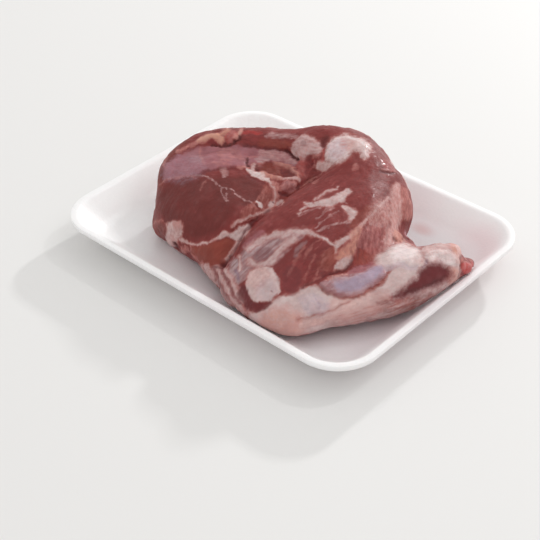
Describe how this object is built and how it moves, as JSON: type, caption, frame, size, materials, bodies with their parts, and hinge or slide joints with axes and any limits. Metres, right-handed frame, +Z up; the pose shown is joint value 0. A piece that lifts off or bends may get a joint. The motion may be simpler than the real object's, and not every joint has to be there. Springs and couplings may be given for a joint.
{
  "type": "meat tray pack",
  "caption": "Raw bone-in lamb shoulder, trimmed, with its shank folded alongside, lying on an open white foam tray with rounded corners and sloping walls.",
  "frame": {"origin": "centre of the tray's underside", "axes": "+Z up, +X along the tray's long side towards the end that the shank lies along, +Y towards the back"},
  "size_m": [0.3, 0.23, 0.0829],
  "materials": {
    "white_foam": "white expanded polystyrene with a fine bead grain and a soft sheen",
    "raw_meat": "moist raw lean meat with cream fat, pale cartilage and silverskin, glossy where it is wet"
  },
  "bodies": {
    "root": {"foam_tray": "white_foam", "shoulder_meat": "raw_meat"}
  },
  "joints": []
}
